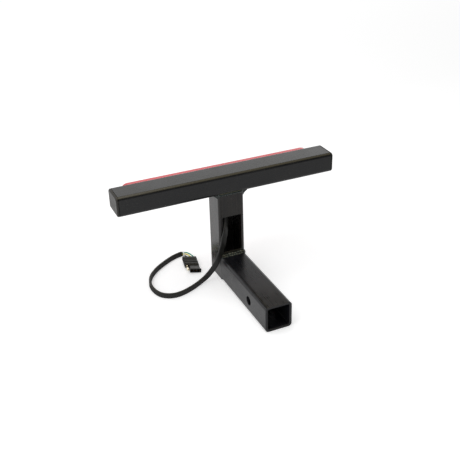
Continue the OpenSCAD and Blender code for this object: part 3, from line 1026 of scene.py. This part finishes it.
@dataclass
class FlatLead:
    """Flat four-wire lead: out of the riser's window, down to the floor and round on its edge."""

    width: float = 10.4
    thick: float = 4.2
    clear: float = 0.1
    rib_pitch: float = 2.8
    rib: float = 0.75
    step: float = 0.45
    route: tuple = (
        (-4, 86, 184.5), (-4, 86, 172), (-4.8, 85, 158), (-6, 80.5, 143), (-8.3, 75, 128),
        (-11.2, 68.5, 117), (-13.7, 62.5, 108), (-17.2, 58.5, 99.5), (-20.5, 57, 91),
        (-22.5, 56, 83), (-24.8, 56, 75.5), (-29, 56, 63), (-33.3, 56.5, 51), (-39, 59.5, 37.5),
        (-46.5, 64, 23.5), (-56.5, 67, 11.5), (-66.5, 66, 6.5), (-75, 62, 5.3), (-85, 56.5, 5.3),
        (-95, 52, 5.3), (-105.5, 48, 5.3), (-116, 45.5, 5.3), (-126, 45, 5.3), (-135, 47, 5.3),
        (-143, 51.5, 5.3), (-149.5, 58, 5.3), (-154, 67, 5.3), (-156.5, 77, 5.3),
        (-157.5, 88, 5.3), (-156.5, 99, 5.3), (-153.5, 109.5, 5.3), (-149.5, 119.5, 5.3),
        (-144, 128.5, 5.3), (-137, 137, 5.3), (-129, 145, 5.3), (-120, 152.5, 5.3),
        (-110, 159.5, 5.3), (-100, 166, 5.3), (-89.5, 172, 5.3), (-79.5, 176.5, 5.3),
        (-70.5, 179.5, 5.3), (-62, 181, 5.3),
    )

    def line(self) -> list[Vector]:
        """The lead's middle line, never lower than where it stands on its edge."""
        low = self.width / 2 + self.clear
        return [Vector((p.x, p.y, max(p.z, low))) for p in smooth_route(self.route, self.step)]

    def facing(self, ahead: Vector) -> Vector:
        """Which way the flat side faces: sideways where it runs level, forwards where it drops."""
        raw = Vector(Z).cross(ahead) + Vector((0, -2, 0)) * (1 - math.hypot(ahead.x, ahead.y))
        return (raw - ahead * raw.dot(ahead)).normalized()

    def rib_height(self, along: float) -> float:
        """Shallow cross ribs that fade out towards the window, where the jacket is smooth."""
        share = min(max((along - 150) / 60, 0.0), 1.0)
        wave = 0.5 + 0.5 * math.cos(2 * math.pi * along / self.rib_pitch)
        return self.rib * share * (wave**2 - 0.45)

    def build(self, with_pieces: Sequence[Piece]) -> Piece:
        """Args:
            with_pieces: the wires, plug and contacts at its far end; not used.

        Returns:
            The jacket.
        """
        line = self.line()
        rings, along = [], 0.0
        for i, p in enumerate(line):
            ahead = heading(line, i)
            face = self.facing(ahead)
            across = face.cross(ahead)
            if i:
                along += (p - line[i - 1]).length
            trim = 0.5 if i in (0, len(line) - 1) else 0.0
            grow = self.rib_height(along)
            outline = rounded_rect(self.width - 2 * trim, self.thick - 2 * trim + 2 * grow, 1.3, 4)
            rings.append([p + across * x + face * y for x, y in outline])
        jacket = loft("flat_lead", rings, HERE, JACKET, sharp=60)
        show(jacket, ["lead_cord"])
        return jacket


@dataclass
class LeadWires:
    """The four insulated wires between the end of the jacket and the plug."""

    diameter: float = 2.4
    routes: dict = field(
        default_factory=lambda: {
            "white": (
                (-61.9, 181.05, 9.2), (-60.6, 181.3, 9.3), (-59.2, 179.5, 9.7), (-59.8, 174.8, 9.7),
                (-61.7, 169, 8.9), (-63.6, 164.5, 7.8), (-64.5, 160.3, 7.6), (-65.1, 157.4, 7.6),
            ),
            "brown": (
                (-61.9, 181.05, 1.5), (-60.6, 181.3, 1.5), (-58.6, 179.7, 1.9), (-57.6, 175.5, 3.2),
                (-57.5, 169.5, 5), (-57.6, 163.4, 6.6), (-58.1, 159, 6.7), (-58.7, 156.1, 6.7),
            ),
            "yellow": (
                (-61.9, 181.05, 4.05), (-60.6, 181.3, 4.05), (-57.4, 180.2, 4.5), (-54.5, 175.6, 5.6),
                (-51.8, 168, 6.4), (-51, 161.8, 5.9), (-51.7, 157.7, 5.7), (-52.3, 154.8, 5.7),
            ),
            "green": (
                (-61.9, 181.05, 6.6), (-60.6, 181.3, 6.6), (-56.4, 181.1, 7), (-51.5, 177, 7.2),
                (-47.5, 169.5, 6.4), (-44.8, 161.2, 5.2), (-45.3, 156.4, 4.8), (-45.9, 153.5, 4.8),
            ),
        }
    )
    colours: dict = field(
        default_factory=lambda: {
            "white": "#f6f6f2", "brown": "#3a2419", "yellow": "#fcea40", "green": "#12977c"
        }
    )

    def build(self) -> list[Piece]:
        """Builds the four wires and returns them."""
        made = []
        for name, route in self.routes.items():
            line = smooth_route(route, 0.5)
            skin = WireSkin(f"wire_pvc_{name}", self.colours[name], 0.28)
            rings = []
            for i, p in enumerate(line):
                ahead = heading(line, i)
                side = ahead.cross(Vector(Z)).normalized()
                up = side.cross(ahead)
                r = self.diameter / 2
                rings.append(
                    [
                        p + r * (math.cos(a) * side + math.sin(a) * up)
                        for a in (2 * math.pi * k / 14 for k in range(14))
                    ]
                )
            piece = loft(f"insulated_wire_{name}", rings, HERE, skin, sharp=60)
            made.append(show(piece, [f"wire_{name}"]))
        return made


@dataclass
class FourWayPlug:
    """Moulded flat plug: ribbed grip, block with three sockets, and one bare pin beside it."""

    width: float = 28.0
    thick: float = 8.6
    grip: float = 37.0
    block: float = 14.0
    pitch: float = 6.6
    pin: float = 4.6
    at: Point = (-55.5, 158.5)
    turn: float = -11.5
    roll: float = 8.0
    grooves: int = 4
    contacts: tuple = (-9.9, -3.3, 3.3, 9.9)

    def place(self) -> Matrix:
        """From the plug's own space, level and pointing to -y, to where it lies."""
        height = self.width / 2 * math.sin(math.radians(self.roll)) + 0.05
        turned = Matrix.Rotation(math.radians(self.turn), 4, "Z") @ Matrix.Rotation(
            math.radians(self.roll), 4, "Y"
        )
        return Matrix.Translation((self.at[0], self.at[1], height)) @ turned

    def along(self) -> Matrix:
        """Local z of the rings runs along the plug, half way up its thickness."""
        return self.place() @ axes((0, 0, self.thick / 2), X, Z, (0, -1, 0))

    def grip_inset(self, along: float) -> float:
        """How far the grip's skin lies in, for its rounded ends and its grooves."""
        inset = 0.0
        spacing = (self.grip - 10) / self.grooves
        for i in range(self.grooves):
            gap = abs(along - 6 - (i + 0.5) * spacing)
            if gap < 1.6:
                inset = max(inset, 1.6 * math.sqrt(1 - (gap / 1.6) ** 2))
        for gap in (along, self.grip - 3 - along):
            if gap < 1.8:
                inset = max(inset, 1.8 - math.sqrt(max(0.0, 1.8**2 - (1.8 - gap) ** 2)))
        return inset

    def build(self) -> list[Piece]:
        """Builds body, pin and sleeves and returns them."""
        way = self.along()
        end = self.grip - 3
        spots = [end * k / 136 for k in range(137)]
        rings = []
        for a in spots:
            i = self.grip_inset(a)
            rings.append(lift(rounded_rect(self.width + 0.8 - 1.6 * i, self.thick - 2 * i, 2.4, 6), a))
        grip = loft("grip", rings, way, PLUG_PVC, sharp=50)
        block_w = self.width / 2 + self.pitch
        shift = (self.width / 2 - block_w / 2, 0.0)
        front = self.grip + self.block
        step_t = self.thick - 1.4
        rows = [
            (end - 1.5, block_w - 3.0, self.thick - 4.6), (
                self.grip - 1.2, block_w - 3.0, self.thick - 4.6
            ), (self.grip - 0.9, block_w - 2.2, step_t - 2.2),
            (self.grip - 0.4, block_w - 0.6, step_t - 0.3), (self.grip + 0.3, block_w - 0.2, step_t), (
                front - 3.6, block_w - 0.2, step_t
            ),
            (front - 3.1, block_w, step_t + 0.4), (front - 2.7, block_w + 0.6, self.thick - 0.2), (
                front - 1.2, block_w + 1.4, self.thick
            ),
            (front - 0.4, block_w + 1.6, self.thick), (front + 0.1, block_w + 1.3, self.thick - 0.3), (
                front + 0.3, block_w + 0.7, self.thick - 0.9
            ),
        ]
        outlines = [
            lift(rounded_rect(w, t, 1.4, 6), a, (shift[0] + max(w - block_w, 0.0) / 2, 0.0))
            for a, w, t in rows
        ]
        block = loft("block", outlines, way, PLUG_PVC, sharp=40)
        cutters = []
        for x in self.contacts[1:]:
            holes = [(front + 1, 3.0), (front, 3.0), (front - 0.3, 2.85), (self.grip + 0.5, 2.85)]
            cutters.append(loft("bore", turned(holes, x), way, PLUG_PVC))
        cut(block, cutters, PLUG_PVC)
        body = show(merge("plug_moulding", [grip, block]), ["plug_body"])
        return [body, self.build_pin(way), self.build_sleeves(way)]

    def build_pin(self, way: Matrix) -> Piece:
        """The bare pin: a turned rod with a bullet nose and a collar line."""
        r, tip = self.pin / 2, self.grip + self.block - 2
        rows = [
            (self.grip - 9, r), (self.grip - 2.2, r), (self.grip - 2.0, r - 0.15),
            (self.grip - 1.6, r - 0.15), (self.grip - 1.4, r),
        ]
        rows += [
            (tip - r + r * math.sin(math.radians(9 * k)), max(r * math.cos(math.radians(9 * k)), 0.12))
            for k in range(11)
        ]
        rings = turned(rows, self.contacts[0], 6)
        return show(loft("plug_contact_pin", rings, way, BRASS, sharp=40), ["plug_pin"])

    def build_sleeves(self, way: Matrix) -> Piece:
        """Three brass sleeves, set back in the block's holes, with a bell mouth."""
        start, end = self.grip + 0.8, self.grip + self.block - 2
        profile = [
            (start, 2.8), (end - 0.2, 2.8), (end, 2.7), (end, 2.5), (end - 0.6, 2.35), (start + 1, 2.35),
            (start + 1, 0.2),
        ]
        made = []
        for x in self.contacts[1:]:
            made.append(loft("sleeve", turned(profile, x, 6), way, SLEEVE_BRASS, sharp=40))
        return show(merge("plug_contact_sleeves", made), ["plug_sockets"])


# ---- lamp


@dataclass
class Lamp:
    """Slim red lamp on the crossbar's far face: gasket, base, board, diodes, screws and fluted lens."""

    sizes: SteelFrame
    base: Point = (376.1, 30.0)
    base_top: float = 5.8
    lap: float = 0.6
    corner: float = 13.0
    back: float = 1.1
    depth: float = 12.7
    edge: float = 2.8
    wall: float = 2.2
    screw_x: float = SCREW_X
    seat: float = 9.5
    flute_pitch: float = FLUTE_PITCH
    flute: float = 0.7

    def build(self) -> None:
        """Dresses the lamp's pieces and builds its lens."""
        for node, finish in (
            ("lamp_gasket", GASKET), ("lamp_base", LAMP_BASE_PLASTIC), ("circuit_board", BOARD), (
                "led_chips", LED
            ),
            ("lamp_screws", SCREW_STEEL), ("lead_grommet", GROMMET), ("lead_inside", JACKET),
        ):
            dress(node, finish)
        self.build_lens()

    def build_lens(self) -> None:
        """A moulded cover that laps round the base's rim, hollow behind, with two sunk screw seats."""
        way = axes((0, self.sizes.rear_y, self.sizes.bar_z), X, Z, Y)
        rows = [(self.back, 0.3), (self.back + 0.3, 0.0), *round_over(self.depth, self.edge)]
        outlines = []
        for a, inset in rows:
            i = inset - self.lap
            outlines.append(
                lift(rounded_rect(self.base[0] - 2 * i, self.base[1] - 2 * i, self.corner - i, 10), a)
            )
        lens = loft("lamp_lens_cover", outlines, way, LENS_RED, sharp=50)
        lapped = [
            lift(rounded_rect(self.base[0] + 0.2, self.base[1] + 0.2, self.corner + 0.1, 10), a)
            for a in (self.back - 1, self.base_top)
        ]
        cutters = [loft("lapped", lapped, way, LENS_RED), self.hollow(way)]
        for x in (-self.screw_x, self.screw_x):
            for holes in (
                ((self.base_top - 1, 2.2), (self.seat + 1, 2.2)),
                ((self.seat, 4.3), (self.depth - 0.4, 4.3), (self.depth + 0.6, 5.3)),
            ):
                cutters.append(loft("hole", turned(holes, x), way, LENS_RED))
        cut(lens, cutters, LENS_RED)
        flat_faces(lens)
        show(lens, ["lamp_lens"])

    def hollow(self, way: Matrix) -> Piece:
        """The space behind the lens, whose ceiling is fluted across; it stops short of the screw seats."""
        half, tall, turn = self.screw_x - 7.0, self.base[1] / 2 + self.lap - self.wall, 8.0
        count = round(2 * half / 0.8)
        low = self.base_top - 1.0
        rings = []
        for k in range(count + 1):
            x = half * (2 * k / count - 1)
            short = min(half - abs(x), turn)
            side = tall - turn + math.sqrt(turn**2 - (turn - short) ** 2)
            ceiling = self.depth - self.wall - self.flute * (
                0.5 + 0.5 * math.cos(2 * math.pi * x / self.flute_pitch)
            )
            outline = rounded_rect(2 * side, ceiling - low, 0.8, 3)
            rings.append([Vector((x, v, (low + ceiling) / 2 + w)) for v, w in outline])
        return loft("hollow", rings, way, LENS_RED, sharp=60)


# ---- studio


@dataclass
class Studio:
    """Pale floor, white surroundings, soft lamps and the photograph's camera."""

    eye: tuple = (-0.49386, -1.07593, 0.78428)
    right: tuple = (0.91255, -0.40807, -0.02687)
    up: tuple = (0.21794, 0.42968, 0.87629)
    back: tuple = (-0.34604, -0.80551, 0.48104)
    focal_px: float = 757.226
    frame_px: float = 460.0

    def build(self) -> None:
        """Builds the surroundings."""
        self.build_camera()
        self.build_floor()
        self.build_world()
        self.build_lamps()
        bpy.context.scene.view_settings.view_transform = "Standard"

    def build_camera(self) -> None:
        """The camera that was fitted to the photograph's edges."""
        data = bpy.data.cameras.new("camera")
        data.sensor_fit = "HORIZONTAL"
        data.sensor_width = 36.0
        data.lens = self.focal_px / self.frame_px * data.sensor_width
        data.clip_start, data.clip_end = 0.01, 60.0
        camera = bpy.data.objects.new("camera", data)
        bpy.context.scene.collection.objects.link(camera)
        camera.matrix_world = axes(self.eye, self.right, self.up, self.back)
        bpy.context.scene.camera = camera

    def build_floor(self) -> None:
        """A matt white sweep; a lift towards white is for the camera, and less of it for gloss and glass."""
        mesh = bpy.data.meshes.new("floor")
        s = 14.0
        mesh.from_pydata([(-s, -s, 0), (s, -s, 0), (s, s, 0), (-s, s, 0)], [], [(0, 1, 2, 3)])
        floor = bpy.data.objects.new("floor", mesh)
        bpy.context.scene.collection.objects.link(floor)
        paper = bpy.data.materials.new("white_paper")
        paper.use_nodes = True
        tree = paper.node_tree
        tree.nodes.clear()
        matt = add(tree, "BsdfDiffuse", {"Color": linear("#f4f4f4")})
        path = add(tree, "LightPath")
        mirrored = {0: path.outputs["Is Glossy Ray"], 1: path.outputs["Is Transmission Ray"]}
        either = add(tree, "Math", mirrored, operation="MAXIMUM")
        place = add(tree, "SeparateXYZ", {"Vector": add(tree, "TexCoord").outputs["Object"]}).outputs["Y"]
        # Far off, where the lamps fall away, the sweep stays as white as near the part.
        far = add(
            tree, "MapRange",
            {"Value": place, "From Min": 0.9, "From Max": 2.4, "To Min": 0.39, "To Max": 0.53},
        )
        seen = add(tree, "Math", {0: path.outputs["Is Camera Ray"], 1: far}, operation="MULTIPLY")
        # The floor nearest the camera gets no lift, which keeps the faces towards it dark.
        near = {"Value": place, "From Min": -0.16, "From Max": -0.04, "To Max": 0.23}
        lift_there = add(tree, "MapRange", near)
        strength = add(tree, "Math", {0: either, 1: lift_there, 2: seen}, operation="MULTIPLY_ADD")
        glow = add(tree, "Emission", {"Color": linear("#ffffff"), "Strength": strength})
        both = add(tree, "AddShader", {0: matt, 1: glow})
        add(tree, "OutputMaterial", {"Surface": both})
        mesh.materials.append(paper)

    def build_world(self) -> None:
        """White for what the camera, gloss and glass see, darker high up; a plain level for the light."""
        world = bpy.data.worlds.new("studio")
        world.use_nodes = True
        tree = world.node_tree
        tree.nodes.clear()
        path = add(tree, "LightPath")
        way = add(tree, "TexCoord").outputs["Generated"]
        apart = add(tree, "SeparateXYZ", {"Vector": way})
        height = apart.outputs["Z"]
        fade = {"Value": height, "From Min": 0.44, "From Max": 0.56, "To Min": 1.3, "To Max": 0.33}
        tall = add(tree, "MapRange", fade)
        # The room behind the camera is darker, which draws a thin dark line under each rounded top edge.
        behind = {"Value": apart.outputs["Y"], "From Min": -0.55, "From Max": -0.2, "To Min": 0.15}
        back = add(tree, "Math", {0: tall, 1: add(tree, "MapRange", behind)}, operation="MULTIPLY")
        left = {"Value": apart.outputs["X"], "From Min": -0.35, "From Max": -0.1, "To Min": 0.3}
        # A paler strip far to the left draws the light line along the middle of rounded left edges.
        strip = {
            "Value": apart.outputs["X"], "From Min": -0.5, "From Max": -0.42, "To Min": 0.6, "To Max": 0.0
        }
        dim = {0: add(tree, "MapRange", left), 1: add(tree, "MapRange", strip)}
        walls = {0: back, 1: add(tree, "Math", dim, operation="ADD")}
        sides = add(tree, "Math", walls, operation="MULTIPLY")
        right = add(
            tree, "MapRange",
            {"Value": apart.outputs["X"], "From Min": 0.3, "From Max": 0.5, "To Min": 1.5, "To Max": 0.9},
        )
        ceiling = add(
            tree, "MapRange", {"Value": height, "From Min": 0.7, "From Max": 0.78, "To Max": right}
        )
        room = add(tree, "Math", {0: sides, 1: ceiling}, operation="ADD")
        gloss = add(
            tree, "Math", {0: path.outputs["Is Glossy Ray"], 1: path.outputs["Is Transmission Ray"]},
            operation="MAXIMUM",
        )
        white = add(tree, "Math", {0: room, 1: gloss}, operation="MULTIPLY")
        bright = add(tree, "Math", {0: white, 1: path.outputs["Is Camera Ray"]}, operation="MAXIMUM")
        matt = add(tree, "Math", {0: path.outputs["Is Diffuse Ray"], 1: 0.5}, operation="MULTIPLY")
        level = add(tree, "Math", {0: bright, 1: matt}, operation="MAXIMUM")
        # The ceiling is a little warm, which gives the rounded top edges their olive tone.
        high = add(tree, "MapRange", {"Value": height, "From Min": 0.58, "From Max": 0.75})
        warm = add(tree, "Math", {0: high, 1: path.outputs["Is Glossy Ray"]}, operation="MULTIPLY")
        colour = add(
            tree, "Mix", {"Factor": warm, 6: linear("#ffffff"), 7: linear("#fff0c4")}, data_type="RGBA"
        ).outputs[2]
        sky = add(tree, "Background", {"Color": colour, "Strength": level})
        add(tree, "OutputWorld", {"Surface": sky})
        bpy.context.scene.world = world

    def build_lamps(self) -> None:
        """One large softbox overhead and a smaller one at the front left."""
        for name, at, aim, size, power in (
            ("softbox_top", (-0.5, 0.1, 1.9), (0, 0.05, 0), 1.8, 16.0),
            ("softbox_left", (-1.6, -0.9, 1.1), (0, 0, 0.1), 1.0, 5.0),
        ):
            data = bpy.data.lights.new(name, "AREA")
            data.size = size
            data.energy = power
            lamp = bpy.data.objects.new(name, data)
            bpy.context.scene.collection.objects.link(lamp)
            lamp.location = at
            lamp.rotation_euler = (Vector(at) - Vector(aim)).to_track_quat("Z", "Y").to_euler()


def main() -> None:
    """Builds everything in order."""
    Studio().build()
    plug_pieces = FourWayPlug().build()
    wires = LeadWires().build()
    FlatLead().build([*plug_pieces, *wires])
    steel = SteelFrame()
    steel.build()
    Welds(steel).build()
    Caps(steel).build()
    Lamp(steel).build()


if __name__ == "__main__":
    logging.basicConfig(level=logging.INFO, format="%(name)s: %(message)s", stream=sys.stdout)
    main()
